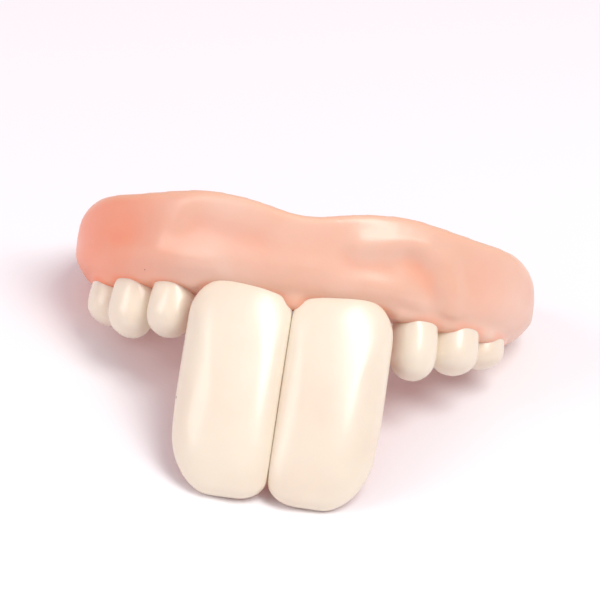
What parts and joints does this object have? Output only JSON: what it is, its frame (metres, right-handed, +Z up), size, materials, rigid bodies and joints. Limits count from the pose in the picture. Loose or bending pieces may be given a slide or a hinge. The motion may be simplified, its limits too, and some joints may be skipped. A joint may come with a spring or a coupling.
{
  "type": "novelty denture",
  "caption": "Soft gag denture: a U-shaped gum trough that fits over the wearer's teeth, with two oversized front teeth and short side teeth",
  "frame": {"origin": "centre of the bounding box on the surface that the denture rests on", "axes": "+Z up, -Y the way the front teeth face, +X to the right of someone facing the front teeth"},
  "size_m": [0.0614, 0.049, 0.0291],
  "materials": {
    "gum": "soft satin vinyl, flesh pink",
    "tooth": "soft glossy vinyl, cream white"
  },
  "bodies": {
    "root": {"gum_base": "gum", "left_central_incisor": "tooth", "right_central_incisor": "tooth", "left_small_tooth_1": "tooth", "left_small_tooth_2": "tooth", "left_small_tooth_3": "tooth", "right_small_tooth_1": "tooth", "right_small_tooth_2": "tooth", "right_small_tooth_3": "tooth"}
  },
  "joints": []
}
